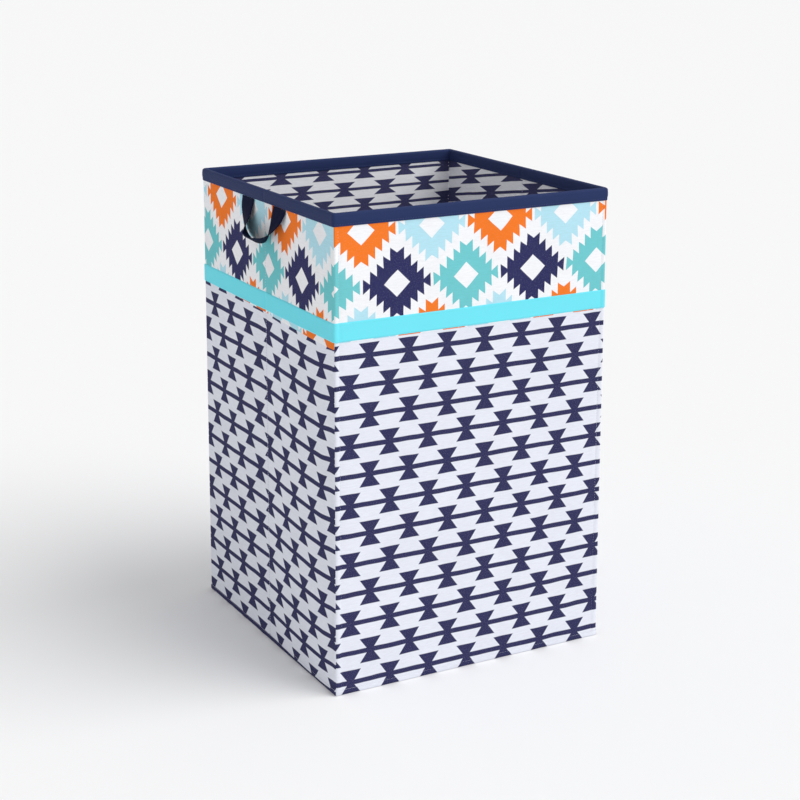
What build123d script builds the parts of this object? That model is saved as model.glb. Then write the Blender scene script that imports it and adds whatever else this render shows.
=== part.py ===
"""A tall square storage bin of printed cloth over stiff boards, which folds flat.

Millimetres. +Z is up and the origin is at the centre of the base, on the floor. The front wall faces -Y,
the back wall +Y. The two side walls fold inwards along an upright crease in their middle, as a gusset does,
and carry the front wall back against the back wall. The base is a stiff flap, hinged along the foot of the
back wall. Each wall is a board between a printed cloth and a lining, with a binding tape over its top edge.
"""

import os
from math import cos, radians, sin

from build123d import *

# The bin over its printed cloth, and the height of its rim.
WIDTH = 356.0
DEPTH = 360.0
HEIGHT = 559.0

# What a wall is made of, from outside to inside.
CLOTH = 0.6
BOARD = 2.4
LINING = 0.6
WALL = CLOTH + BOARD + LINING

# The tape folded over the rim, and the ribbon sewn where the upper band meets the lower print.
TAPE = 1.2
TAPE_HEIGHT = 15.0
RIBBON = 0.45
RIBBON_LOW = 416.5
RIBBON_HIGH = 438.0
BAND_LOW = 414.0

# The walls end above the base, so that they pass over it when they fold.
WALL_LOW = 6.0
WALL_HIGH = HEIGHT - TAPE

# The upright fold lines. Each lies HINGE_GAP clear of the tape, which is the proudest layer of a wall:
# inside the walls at a corner, outside them at a crease. The rear corners also leave room for the raised base.
HINGE_GAP = 0.25
BODY_GAP = 0.3
CREASE = 12.0
BASE_POCKET = 5.2
CORNER_INSET = WALL + TAPE + HINGE_GAP
REAR_CORNER = DEPTH / 2 - CORNER_INSET - BASE_POCKET
FRONT_CORNER = -DEPTH / 2 + CORNER_INSET
HALF_SIDE = (REAR_CORNER - FRONT_CORNER - CREASE) / 2
CREASE_REAR = REAR_CORNER - HALF_SIDE
CREASE_FRONT = FRONT_CORNER + HALF_SIDE
CREASE_MIDDLE = (CREASE_REAR + CREASE_FRONT) / 2
SEAM = 1.0

# A side wall fills the space between the inner faces of the tapes on the front and back walls.
SIDE_REACH = DEPTH / 2 - WALL - TAPE - BODY_GAP

# The base flap: a board in a sewn cover, lying on the bottom cloth.
BASE_LOW = 0.8
COVER = 0.8
BASE_BOARD = 2.6
BASE_THICK = BASE_BOARD + 2 * COVER
BASE_HIGH = BASE_LOW + BASE_THICK
BASE_WIDTH = 344.0
BASE_REAR = 173.9
BASE_FRONT = -174.5

# The cloth tape that hinges the base, folded up the foot of the back wall.
HINGE_TAPE = 0.4
HINGE_TAPE_LENGTH = 320.0
HINGE_TAPE_LEG = 14.0

# The bottom cloth and its upturned hem, outside the feet of the walls.
BOTTOM_CLOTH = 0.6
HEM_HIGH = 5.6

# A handle: flat webbing that leaves the rim lying on the wall. Its rear edge stays on the wall all the way round
# the loop, and its front edge leans out from the wall and up, furthest at the foot. The stations follow the rear
# edge, from the rear root over the foot to the front root: each is a distance in front of the crease and a
# distance below the roots.
STRAP_WIDTH = 34.0
STRAP_THICK = 1.6
STRAP_ROOT = HEIGHT - TAPE_HEIGHT - BODY_GAP
STRAP_STATIONS = [(-60, 0), (-57, 22), (-46, 40), (-17, 49.5), (11, 42), (21, 22), (26, 0)]
STRAP_LEAN = 52.0
STRAP_RISE = 28.5
STRAP_SECTIONS = 33

# Sketch planes on the outer face of each wall's cloth: X runs left to right as seen from outside, Y is up.
WALL_PLANES = {
    "left": Plane(origin=(-WIDTH / 2, 0, 0), x_dir=(0, -1, 0), z_dir=(-1, 0, 0)),
    "right": Plane(origin=(WIDTH / 2, 0, 0), x_dir=(0, 1, 0), z_dir=(1, 0, 0)),
    "front": Plane(origin=(0, -DEPTH / 2, 0), x_dir=(1, 0, 0), z_dir=(0, -1, 0)),
    "back": Plane(origin=(0, DEPTH / 2, 0), x_dir=(-1, 0, 0), z_dir=(0, 1, 0)),
}


def save(part, name):
    part.label = name
    export_step(part, f"parts/{name}.step")


def layer(plane, span, low, high, proud, thickness, wrapped=False, turned_under=False):
    """One flat layer of a wall, between two places along it and two heights.

    Its outer face stands proud of the cloth's outer face, and thickness runs inwards from there. A wrapped
    layer also covers the wall's two ends, and one that is turned under covers its foot.
    """
    start, end = span
    end_depth = proud + CLOTH + BOARD
    with BuildPart() as sheet:
        with BuildSketch(plane.offset(proud)):
            with Locations(((start + end) / 2, (low + high) / 2)):
                Rectangle(end - start, high - low)
        extrude(amount=-thickness)
        if wrapped:
            with BuildSketch(plane.offset(proud)):
                with Locations(
                    (start + thickness / 2, (low + high) / 2),
                    (end - thickness / 2, (low + high) / 2),
                ):
                    Rectangle(thickness, high - low)
            extrude(amount=-end_depth)
        if turned_under:
            with BuildSketch(plane.offset(proud)):
                with Locations(((start + end) / 2, low + thickness / 2)):
                    Rectangle(end - start, thickness)
            extrude(amount=-end_depth)
    return sheet.part


def rim_tape(plane, span, wrapped=False):
    """The binding tape over the top edge: two legs and the fold between them, closed at wrapped ends."""
    start, end = span
    low = HEIGHT - TAPE_HEIGHT
    with BuildPart() as tape:
        with BuildSketch(plane.offset(TAPE)):
            with Locations(((start + end) / 2, (low + HEIGHT) / 2)):
                Rectangle(end - start, TAPE_HEIGHT)
        extrude(amount=-(WALL + 2 * TAPE))
        inset = TAPE if wrapped else 0.0
        with BuildSketch(plane):
            with Locations(((start + end) / 2, (low + WALL_HIGH) / 2)):
                Rectangle(end - start - 2 * inset, WALL_HIGH - low)
        extrude(amount=-WALL, mode=Mode.SUBTRACT)
    return tape.part


def stiff_wall(name, side, span, wrapped):
    """A wall, or half a side wall: board, lower print, upper band, ribbon, lining and rim tape."""
    plane = WALL_PLANES[side]
    start, end = span
    margin = CLOTH if wrapped else 0.0
    inner = (start + margin, end - margin)
    save(layer(plane, inner, WALL_LOW + CLOTH, WALL_HIGH, -CLOTH, BOARD), f"{name}_board")
    save(layer(plane, span, WALL_LOW, BAND_LOW, 0, CLOTH, wrapped, True), f"{name}_print")
    save(layer(plane, span, BAND_LOW, WALL_HIGH, 0, CLOTH, wrapped), f"{name}_band")
    proud = RIBBON if wrapped else 0.0
    ribbon_span = (start - proud, end + proud)
    ribbon = layer(plane, ribbon_span, RIBBON_LOW, RIBBON_HIGH, RIBBON, RIBBON, wrapped)
    save(ribbon, f"{name}_ribbon")
    save(layer(plane, span, WALL_LOW, WALL_HIGH, -CLOTH - BOARD, LINING), f"{name}_lining")
    proud = TAPE if wrapped else 0.0
    save(rim_tape(plane, (start - proud, end + proud), wrapped), f"{name}_tape")


def soft_crease(name, side, span):
    """The boardless strip in the middle of a side wall, where cloth and lining are sewn together."""
    plane = WALL_PLANES[side]
    start, end = span
    middle = (start + end) / 2
    seam_span = (middle - SEAM / 2, middle + SEAM / 2)
    save(layer(plane, span, WALL_LOW, BAND_LOW, 0, CLOTH), f"{name}_print")
    save(layer(plane, span, BAND_LOW, WALL_HIGH, 0, CLOTH), f"{name}_band")
    save(layer(plane, span, RIBBON_LOW, RIBBON_HIGH, RIBBON, RIBBON), f"{name}_ribbon")
    save(layer(plane, seam_span, WALL_LOW, WALL_HIGH, -CLOTH, BOARD), f"{name}_seam")
    save(layer(plane, span, WALL_LOW, WALL_HIGH, -CLOTH - BOARD, LINING), f"{name}_lining")
    save(rim_tape(plane, span), f"{name}_tape")


def strap_plane(side, route, share):
    """The plane across a handle's webbing, at a share of the way along its rear edge."""
    outward = WALL_PLANES[side].z_dir
    away = outward * cos(radians(STRAP_RISE)) + Vector(0, 0, sin(radians(STRAP_RISE)))
    lean = radians(STRAP_LEAN * sin(radians(180 * share)) ** 2)
    width = Vector(0, -cos(lean), 0) + away * sin(lean)
    tangent = route % share
    onward = (tangent - width * tangent.dot(width)).normalized()
    place = (route @ share) + width * (STRAP_WIDTH / 2)
    return Plane(origin=place, x_dir=width, z_dir=onward)


def handle(side):
    """A loop of webbing hanging from under the rim tape, over the side wall's crease."""
    outward = WALL_PLANES[side].z_dir
    stand_off = WIDTH / 2 + BODY_GAP + STRAP_THICK / 2
    stations = [
        outward * stand_off + Vector(0, CREASE_MIDDLE - ahead, STRAP_ROOT - drop)
        for ahead, drop in STRAP_STATIONS
    ]
    route = Edge.make_spline(stations, tangents=[Vector(0, 0, -1), Vector(0, 0, 1)])
    with BuildPart() as strap:
        for index in range(STRAP_SECTIONS):
            with BuildSketch(strap_plane(side, route, index / (STRAP_SECTIONS - 1))):
                Rectangle(STRAP_WIDTH, STRAP_THICK)
        loft(ruled=True)
    return strap.part


def base_pieces():
    """The base flap's board, the cover sewn over it and the sheet that closes the cover underneath."""
    middle = (BASE_REAR + BASE_FRONT) / 2
    depth = BASE_REAR - BASE_FRONT
    with BuildPart() as underside:
        with BuildSketch(Plane.XY.offset(BASE_LOW)):
            with Locations((0, middle)):
                Rectangle(BASE_WIDTH, depth)
        extrude(amount=COVER)
    save(underside.part, "base_cover_underside")
    with BuildPart() as board:
        with BuildSketch(Plane.XY.offset(BASE_LOW + COVER)):
            with Locations((0, middle)):
                Rectangle(BASE_WIDTH - 2 * COVER, depth - 2 * COVER)
        extrude(amount=BASE_BOARD)
    save(board.part, "base_board")
    with BuildPart() as cover:
        with BuildSketch(Plane.XY.offset(BASE_LOW + COVER)):
            with Locations((0, middle)):
                Rectangle(BASE_WIDTH, depth)
        extrude(amount=BASE_BOARD + COVER)
        with BuildSketch(Plane.XY.offset(BASE_LOW + COVER)):
            with Locations((0, middle)):
                Rectangle(BASE_WIDTH - 2 * COVER, depth - 2 * COVER)
        extrude(amount=BASE_BOARD, mode=Mode.SUBTRACT)
    save(cover.part, "base_cover_top")


def hinge_tape():
    """The tape that joins the base flap's top to the back wall's lining."""
    back_face = DEPTH / 2 - WALL - BODY_GAP
    with BuildPart() as tape:
        with BuildSketch(Plane.YZ.offset(-HINGE_TAPE_LENGTH / 2)):
            with BuildLine():
                Polyline(
                    (back_face, BASE_HIGH),
                    (back_face, BASE_HIGH + HINGE_TAPE_LEG),
                    (back_face - HINGE_TAPE, BASE_HIGH + HINGE_TAPE_LEG),
                    (back_face - HINGE_TAPE, BASE_HIGH + HINGE_TAPE),
                    (back_face - HINGE_TAPE_LEG, BASE_HIGH + HINGE_TAPE),
                    (back_face - HINGE_TAPE_LEG, BASE_HIGH),
                    close=True,
                )
            make_face()
        extrude(amount=HINGE_TAPE_LENGTH)
    return tape.part


def bottom_cloth():
    """The cloth under the bin, with a low hem turned up round the feet of the walls."""
    inner_width = WIDTH + 2 * BODY_GAP
    inner_depth = DEPTH + 2 * BODY_GAP
    with BuildPart() as tray:
        with BuildSketch(Plane.XY):
            Rectangle(inner_width + 2 * BOTTOM_CLOTH, inner_depth + 2 * BOTTOM_CLOTH)
        extrude(amount=HEM_HIGH)
        with BuildSketch(Plane.XY.offset(BOTTOM_CLOTH)):
            Rectangle(inner_width, inner_depth)
        extrude(amount=HEM_HIGH - BOTTOM_CLOTH, mode=Mode.SUBTRACT)
    return tray.part


os.makedirs("parts", exist_ok=True)

# Front and back walls run the full width and wrap round their ends.
full_width = (-WIDTH / 2, WIDTH / 2)
stiff_wall("back", "back", full_width, True)
stiff_wall("front", "front", full_width, True)

# Along the left wall's plane a place runs towards the front, along the right wall's towards the back.
half = BODY_GAP / 2
rear_half = (CREASE_REAR + half, SIDE_REACH)
front_half = (-SIDE_REACH, CREASE_FRONT - half)
crease = (CREASE_FRONT + half, CREASE_REAR - half)
for side, way in (("left", -1), ("right", 1)):
    for name, span in ((f"{side}_rear", rear_half), (f"{side}_front", front_half)):
        stiff_wall(name, side, tuple(sorted(way * place for place in span)), False)
    soft_crease(f"{side}_crease", side, tuple(sorted(way * place for place in crease)))
    save(handle(side), f"handle_{side}")

base_pieces()
save(hinge_tape(), "base_hinge_tape")
save(bottom_cloth(), "bottom_cloth")
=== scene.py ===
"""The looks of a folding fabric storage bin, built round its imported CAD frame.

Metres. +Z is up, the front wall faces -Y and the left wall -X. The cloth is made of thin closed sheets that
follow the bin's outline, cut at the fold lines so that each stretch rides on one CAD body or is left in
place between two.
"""

import bpy
import numpy as np
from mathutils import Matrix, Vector


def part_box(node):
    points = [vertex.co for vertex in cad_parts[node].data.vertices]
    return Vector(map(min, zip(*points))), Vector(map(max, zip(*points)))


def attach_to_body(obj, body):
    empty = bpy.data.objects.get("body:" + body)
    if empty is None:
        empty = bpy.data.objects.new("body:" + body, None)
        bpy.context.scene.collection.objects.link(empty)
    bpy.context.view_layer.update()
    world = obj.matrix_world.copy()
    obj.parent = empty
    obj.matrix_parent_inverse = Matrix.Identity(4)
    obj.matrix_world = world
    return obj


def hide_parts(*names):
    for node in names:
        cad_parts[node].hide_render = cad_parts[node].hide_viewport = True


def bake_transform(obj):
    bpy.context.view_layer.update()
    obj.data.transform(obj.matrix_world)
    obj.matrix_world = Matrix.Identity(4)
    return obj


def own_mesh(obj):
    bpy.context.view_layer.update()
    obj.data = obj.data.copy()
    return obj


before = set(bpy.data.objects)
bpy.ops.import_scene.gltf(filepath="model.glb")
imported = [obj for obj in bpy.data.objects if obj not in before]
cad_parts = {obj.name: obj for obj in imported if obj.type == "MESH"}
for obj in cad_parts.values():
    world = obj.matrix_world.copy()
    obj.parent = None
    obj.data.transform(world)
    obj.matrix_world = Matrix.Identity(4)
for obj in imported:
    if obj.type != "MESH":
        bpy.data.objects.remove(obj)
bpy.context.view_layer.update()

MM = 0.001

# === Sizes read from the frame ===

print_low, print_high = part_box("front_print")
back_print_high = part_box("back_print")[1]
HALF_WIDTH = print_high.x
HALF_DEPTH = back_print_high.y
FOOT = print_low.z
TAPE_LOW, RIM_HIGH = (corner_point.z for corner_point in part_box("front_tape"))
TAPE_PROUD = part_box("back_tape")[1].y - HALF_DEPTH
RIBBON_LOW, RIBBON_HIGH = (corner_point.z for corner_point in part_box("front_ribbon"))
LINING_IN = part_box("back_lining")[0].y - HALF_DEPTH
crease_low, crease_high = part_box("left_crease_print")
CREASE_Y = (crease_low.y + crease_high.y) / 2
CREASE_HALF = crease_high.y - CREASE_Y

# === Sizes of the soft shapes ===

CLOTH = 0.6 * MM
FLARE = 2.5 * MM
OUTER_RADIUS = 2.6 * MM
INNER_RADIUS = 1.2 * MM
EDGE_REACH = 14 * MM
EDGE_STEPS = np.array((14, 10, 6.5, 4.5, 3, 2, 1)) * MM
ARC_TURNS = np.linspace(0, np.pi / 2, 7)
CREASE_BEND = 4 * MM
CREASE_STEPS = np.array((0, 1, 2, 3.5, 5, 7, 10, 14)) * MM
PANEL_STEP = 4.5 * MM
BODY_GAP = 0.3 * MM

# How far the cloth stands off its boards between the seams, and how deep it sinks in a side wall's crease.
RIPPLE = 1.1 * MM
GROOVE = 0.7 * MM
GROOVE_WIDTH = 3.0 * MM
TAPE_GROOVE = 0.35 * MM
LINING_GROOVE = 1.0 * MM
LINING_RIPPLE = 0.5 * MM

# The upright topstitching beside each corner: where it runs, how deep it pulls in, and the ridge beside it.
SEAM_PLACE = 5.8 * MM
SEAM_DIP = 0.5 * MM
SEAM_RIDGE = 0.35 * MM

# The places round each corner's diagonal, from just before it to just past it, where its cloth would go over
# to its side wall; the corner zones hold them.
TURN_BEFORE = 2.2 * MM
TURN_AFTER = 4.3 * MM

# Plan frame of each wall, in order round the bin: the way out, the way along (left to right from outside),
# the distance from the middle, and half the width.
WALLS = {
    "back": ((0, 1), (-1, 0), HALF_DEPTH, HALF_WIDTH),
    "left": ((-1, 0), (0, -1), HALF_WIDTH, HALF_DEPTH),
    "front": ((0, -1), (1, 0), HALF_DEPTH, HALF_WIDTH),
    "right": ((1, 0), (0, 1), HALF_WIDTH, HALF_DEPTH),
}


def smooth(low, high, value):
    """0 below low, 1 above high, and an even S between them."""
    share = np.clip((value - low) / (high - low), 0, 1)
    return share * share * (3 - 2 * share)


def waves(u, z, length, seed):
    """Soft random waves of about that length, from -1 to 1."""
    random = np.random.default_rng(seed)
    total = 0
    count = 7
    for _ in range(count):
        turn = random.uniform(0, 2 * np.pi)
        number = 2 * np.pi / (length * random.uniform(0.75, 1.5))
        phase = random.uniform(0, 2 * np.pi)
        total = total + np.sin(number * (u * np.cos(turn) + z * np.sin(turn)) + phase)
    return total / count * 1.6


# === The outline and its zones ===


class Zone:
    """A stretch of the outline that rides on one body, or is left in place between two.

    turn, the two places between which a zone would go over from its first body to its second, is not used.
    shape is panel or corner, and part what that function takes before a reach and a radius.
    """

    def __init__(self, name, shape, part, bodies, nodes=(), turn=None):
        self.name = name
        self.shape = shape
        self.part = part
        self.bodies = bodies
        self.nodes = nodes
        self.turn = turn

    def plan(self, reach, radius):
        """Points, outward normals, places along the wall and wall names, at a distance outside the cloth."""
        points, normals, places, walls = zip(*self.shape(*self.part, reach, radius))
        return np.array(points), np.array(normals), np.array(places), walls


def on_wall(wall, along, reach):
    out, way, distance, half = WALLS[wall]
    point = np.array(out) * (distance + reach) + np.array(way) * along
    return point, np.array(out, float), along + half, wall


def panel(wall, first, last, margin, reach, radius):
    """Points along a flat wall from its "start", or its "crease", to its "crease", or its "end"."""
    half = WALLS[wall][3]
    limit = half + reach - radius - margin
    crease = -CREASE_Y if wall == "left" else CREASE_Y
    if (first, last) == ("start", "end"):
        places = np.linspace(-limit, limit, round(2 * half / PANEL_STEP))
    elif first == "start":
        far = np.linspace(-limit, crease - CREASE_STEPS[-1], round(half / PANEL_STEP))
        places = np.concatenate((far, crease - CREASE_STEPS[-2::-1]))
    else:
        far = np.linspace(crease + CREASE_STEPS[-1], limit, round(half / PANEL_STEP))
        places = np.concatenate((crease + CREASE_STEPS[:-1], far))
    return [on_wall(wall, place, reach) for place in places]


def corner(wall, following, margin, reach, radius):
    """Points up to a corner, round it, and on along the next wall as far as the margin."""
    edge = WALLS[wall][3] + reach - radius
    next_edge = WALLS[following][3] + reach - radius
    rows = [on_wall(wall, edge - step, reach) for step in EDGE_STEPS]
    out, next_out = (np.array(WALLS[name][0], float) for name in (wall, following))
    centre = out * (WALLS[wall][2] + reach - radius) + next_out * (WALLS[following][2] + reach - radius)
    for turn in ARC_TURNS:
        normal = out * np.cos(turn) + next_out * np.sin(turn)
        if turn <= np.pi / 4 + 1e-6:
            place, name = edge + WALLS[wall][3] + radius * turn, wall
        else:
            place, name = WALLS[following][3] - next_edge - radius * (np.pi / 2 - turn), following
        rows.append((centre + normal * radius, normal, place, name))
    steps = [step for step in EDGE_STEPS[::-1] if step <= margin + 1e-9]
    return rows + [on_wall(following, -(next_edge - step), reach) for step in steps]


def wall_zone(wall):
    return Zone(wall, panel, (wall, "start", "end", EDGE_REACH), (wall,), (wall,))


def corner_zone(side, end, wall, following):
    """A corner's cloth, between its end wall's body and its side wall's."""
    right = 1 if side == "right" else -1
    rear = 1 if end == "rear" else -1
    place = np.array((right * HALF_WIDTH, rear * HALF_DEPTH))
    way = np.array((right, -rear)) / np.sqrt(2)
    turn = (tuple(place - way * TURN_BEFORE), tuple(place + way * TURN_AFTER))
    bodies = ("back" if end == "rear" else "front", f"{side}_{end}")
    return Zone(f"{side}_{end}_corner", corner, (wall, following, EDGE_REACH), bodies, (), turn)


def side_zones(side):
    """A side wall's two halves, each between its own body and the crease's."""
    zones = []
    for half, end in (("rear", 1), ("front", -1)):
        edge = CREASE_Y + end * CREASE_HALF
        turn = ((0, edge + end * CREASE_BEND), (0, edge - end * CREASE_BEND))
        ends = ("start", "crease") if (half == "rear") == (side == "left") else ("crease", "end")
        margin = EDGE_STEPS[4] if (side, half) == ("right", "front") else EDGE_REACH
        body, crease = f"{side}_{half}", f"{side}_crease"
        nodes = (body, crease) if half == "front" else (body,)
        zones.append(Zone(body, panel, (side, *ends, margin), (body, crease), nodes, turn))
    return zones


ZONES = [
    wall_zone("back"),
    corner_zone("left", "rear", "back", "left"),
    *side_zones("left"),
    corner_zone("left", "front", "left", "front"),
    wall_zone("front"),
    Zone("right_front_corner", corner, ("front", "right", EDGE_STEPS[4]), ("front",)),
    *side_zones("right"),
    corner_zone("right", "rear", "right", "back"),
]


def stand_off(walls, places, z, amount=RIPPLE):
    """How far outside its board the cloth stands, away from the seams and creases."""
    total = np.zeros(len(places))
    for index, wall in enumerate(WALLS):
        mask = np.isin(walls, wall)
        if not mask.any():
            continue
        u = places[mask]
        height = np.broadcast_to(z, places.shape)[mask]
        length = 2 * WALLS[wall][3]
        slow = waves(u, height, 170 * MM, 31 + index)
        quick = waves(u, height, 62 * MM, 71 + index)
        bulge = amount * (0.5 + 0.36 * slow + 0.14 * quick)
        bulge = bulge * smooth(4 * MM, 45 * MM, u) * smooth(4 * MM, 45 * MM, length - u)
        bulge = bulge * smooth(0, 26 * MM, TAPE_LOW - height) * (0.35 + 0.65 * smooth(0, 60 * MM, height))
        from_ribbon = np.abs(height - (RIBBON_LOW + RIBBON_HIGH) / 2)
        bulge = bulge * (0.3 + 0.7 * smooth(4 * MM, 40 * MM, from_ribbon))
        if wall in ("left", "right"):
            bulge = bulge * smooth(3 * MM, 45 * MM, from_crease(wall, u))
        total[mask] = bulge
    return total


def from_crease(wall, u):
    """Distance from a side wall's crease."""
    crease = WALLS[wall][3] + (-CREASE_Y if wall == "left" else CREASE_Y)
    return np.abs(u - crease)


def groove(walls, places, depth):
    """The dip of a side wall's crease."""
    total = np.zeros(len(places))
    for wall in ("left", "right"):
        mask = np.isin(walls, wall)
        total[mask] = depth * np.exp(-((from_crease(wall, places[mask]) / GROOVE_WIDTH) ** 2))
    return total


def edge_seam(walls, places):
    """The dip of the topstitching beside a corner, and the ridge of turned-in cloth next to it."""
    total = np.zeros(len(places))
    for wall in ("front", "back"):
        mask = np.isin(walls, wall)
        edge = np.minimum(places[mask], 2 * WALLS[wall][3] - places[mask])
        dip = SEAM_DIP * np.exp(-(((edge - SEAM_PLACE) / (1.4 * MM)) ** 2))
        ridge = SEAM_RIDGE * smooth(-2 * MM, 2 * MM, edge)
        ridge = ridge * (1 - smooth(SEAM_PLACE - 2 * MM, SEAM_PLACE, edge))
        total[mask] = dip - ridge
    return total


def cloth_face(walls, places, z):
    """How far the outer cloth stands off, seams and creases and all."""
    return stand_off(walls, places, z) - groove(walls, places, GROOVE) - edge_seam(walls, places)


def band_edge(walls, places):
    """Height of the join between the two prints. On the left wall it runs down towards the front."""
    height = np.full(len(places), RIBBON_LOW - 1.2 * MM)
    slope = smooth(60 * MM, 2 * HALF_DEPTH, places) * 8 * MM
    return np.where(np.isin(walls, "left"), RIBBON_LOW - slope, height)


# === Prints: where each one's repeat falls on each wall ===

# First column, first row, column pitch and row pitch, in mm.
LOWER_REPEAT = {
    "front": (44.9, 397.7, 49.4, 34.97),
    "left": (31.7, 392.0, 49.7, 35.25),
    "right": (21.0, 395.0, 49.6, 35.0),
    "back": (38.0, 396.0, 49.6, 35.0),
}
UPPER_REPEAT = {
    "front": (77.3, 475.0, 88.4, 61.5),
    "left": (103.3, 471.0, 89.6, 61.8),
    "right": (65.0, 473.0, 89.0, 61.5),
    "back": (92.0, 474.0, 89.0, 61.5),
}
LINING_REPEAT = {
    "front": (30.0, 541.0, 60.0, 22.4),
    "left": (48.0, 539.0, 60.0, 22.4),
    "right": (299.7, 530.3, 98.5, 22.9),
    "back": (191.0, 539.0, 60.0, 22.4),
}
LINING_SLANT = 0.17


def in_repeats(table, wall, u, z):
    """A place on a wall, counted in a print's repeats."""
    column, row, wide, tall = (value * MM for value in table[wall])
    return (u - column) / wide, (z - row) / tall


def lower_repeat(wall, u, z):
    """The lower print. The cloth of two walls is sewn on a little off its grain."""
    if wall == "front":
        spread = (14.3 * MM * u / (2 * HALF_WIDTH) - 2 * MM) * (1 - z / RIBBON_LOW)
        u = u + 2.5 * MM - spread
        z = z - 3.2 * MM * np.sin(np.pi * np.clip(z / RIBBON_LOW, 0, 1))
    if wall == "left":
        u = u - 9 * MM * np.exp(-(((u - 195 * MM) / (55 * MM)) ** 2))
        sink = 4 * MM + 4 * MM * smooth(0, 70 * MM, z)
        z = z + sink * smooth(130 * MM, 315 * MM, u) - 2.5 * MM * smooth(325 * MM, 357 * MM, u)
    return in_repeats(LOWER_REPEAT, wall, u, z)


def upper_repeat(wall, u, z):
    return in_repeats(UPPER_REPEAT, wall, u, z)


def lining_repeat(wall, u, z):
    """The lining's print is smaller, and runs at a slant on the right wall."""
    slant = LINING_SLANT * (u - LINING_REPEAT[wall][0] * MM) if wall == "right" else 0
    return in_repeats(LINING_REPEAT, wall, u, z + slant)


# === Meshes ===


def new_object(name, data):
    item = bpy.data.objects.new(name, data)
    bpy.context.scene.collection.objects.link(item)
    return item


def new_piece(name, points, faces, material):
    mesh = bpy.data.meshes.new(name)
    mesh.from_pydata([tuple(point) for point in points], [], faces)
    mesh.validate()
    mesh.materials.append(material)
    mesh.polygons.foreach_set("use_smooth", [True] * len(mesh.polygons))
    mesh.set_sharp_from_angle(angle=np.radians(40))
    return new_object(name, mesh)


def run_along(points):
    """How far along a line each of its points is."""
    return np.concatenate(([0], np.cumsum(np.linalg.norm(np.diff(points, axis=0), axis=1))))


def directions(points):
    """The way a line runs at each of its points."""
    tangent = np.gradient(points, axis=0)
    return tangent / np.linalg.norm(tangent, axis=1)[:, None]


def slab(name, outer, inner, material, uvs):
    """A closed thin sheet between two grids of points.

    Each map in uvs holds a pair of values for both sides of every gap between columns.
    """
    rows, columns = outer.shape[:2]
    last, gaps = rows - 1, columns - 1
    # Each corner of a face is a row, a gap, the side of that gap, and 0 on the outer grid or 1 on the inner.
    quads = []
    for i in range(last):
        for j in range(gaps):
            quads.append([(i, j, 0, 0), (i, j, 1, 0), (i + 1, j, 1, 0), (i + 1, j, 0, 0)])
    quads += [[(i, j, side, 1) for i, j, side, _ in quad[::-1]] for quad in quads]
    for j in range(gaps):
        quads.append([(0, j, 0, 1), (0, j, 1, 1), (0, j, 1, 0), (0, j, 0, 0)])
        quads.append([(last, j, 0, 0), (last, j, 1, 0), (last, j, 1, 1), (last, j, 0, 1)])
    j = gaps - 1
    for i in range(last):
        quads.append([(i, 0, 0, 0), (i + 1, 0, 0, 0), (i + 1, 0, 0, 1), (i, 0, 0, 1)])
        quads.append([(i, j, 1, 1), (i + 1, j, 1, 1), (i + 1, j, 1, 0), (i, j, 1, 0)])
    faces = [tuple((layer * rows + i) * columns + j + side for i, j, side, layer in quad) for quad in quads]
    points = np.concatenate((outer.reshape(-1, 3), inner.reshape(-1, 3)))
    piece = new_piece(name, points, faces, material)
    for map_name, values in uvs.items():
        layer = piece.data.uv_layers.new(name=map_name)
        flat = [values[i, j, side] for quad in quads for i, j, side, _ in quad]
        layer.data.foreach_set("uv", np.array(flat, np.float32).ravel())
    return piece


def zone_maps(walls, places, heights, repeat):
    """The print's map and the weave's."""
    rows, columns = heights.shape
    prints = np.zeros((rows, columns - 1, 2, 2))
    weave = np.zeros((rows, columns - 1, 2, 2))
    for j in range(columns - 1):
        wall = walls[j + 1]
        for side in (0, 1):
            u, z = places[:, j + side], heights[:, j + side]
            if side == 0 and walls[j] != wall:
                u = places[:, j + 1] - (places[:, j + 2] - places[:, j + 1])
            prints[:, j, side] = np.column_stack(repeat(wall, u, z))
            weave[:, j, side] = np.column_stack((u + 2 * list(WALLS).index(wall), z))
    return {"print": prints, "weave": weave}


def straight_weave(across, up):
    """The weave's map for a sheet with the same places across in every row."""
    gaps = across.shape[-1] - 1
    weave = np.zeros((len(up), gaps, 2, 2))
    for side in (0, 1):
        weave[:, :, side, 0] = across[..., side : side + gaps]
        weave[:, :, side, 1] = up[:, None]
    return {"weave": weave}


def wrapped_faces(rings, count):
    """Faces round a run of closed rings of that many points."""
    faces = []
    for i in range(rings - 1):
        for j in range(count):
            a, b = i * count + j, i * count + (j + 1) % count
            faces.append((a, b, b + count, a + count))
    return faces


def flare(z):
    """The outer cloth stands off the boards towards the foot."""
    return FLARE * (1 - z / RIM_HIGH)


def zone_sheet(zone, kind, heights, proud, thickness, radius, material, repeat):
    """One layer of one zone. heights(walls, places) gives its rows, proud(share) its stand-off."""
    inside = kind == "lining"
    _, _, places, walls = zone.plan(0, radius)
    levels = heights(walls, places)
    outer, inner, us = [], [], []
    for index, level in enumerate(levels):
        slope = 0 if inside else float(flare(level.mean()))
        points, normals, place, _ = zone.plan(slope + proud(index / (len(levels) - 1)), radius)
        if inside:
            extra = groove(walls, place, LINING_GROOVE) - stand_off(walls, place, level, LINING_RIPPLE)
            depth = -thickness
        else:
            extra = cloth_face(walls, place, level)
            depth = thickness
        face = points + normals * extra[:, None]
        outer.append(np.column_stack((face, level)))
        inner.append(np.column_stack((face - normals * depth, level)))
        us.append(place)
    outer, inner, us = np.array(outer), np.array(inner), np.array(us)
    maps = zone_maps(walls, us, np.array(levels), repeat)
    sides = (inner, outer) if inside else (outer, inner)
    return slab(f"{zone.name}_{kind}_sewn", *sides, material, maps), outer


def attach(piece, zone):
    """Rides a zone's piece on its body, or, for a zone between two bodies, bakes its placing into its mesh
    and leaves it in place.
    """
    if len(zone.bodies) == 1:
        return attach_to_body(piece, zone.bodies[0])
    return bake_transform(piece)


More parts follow.
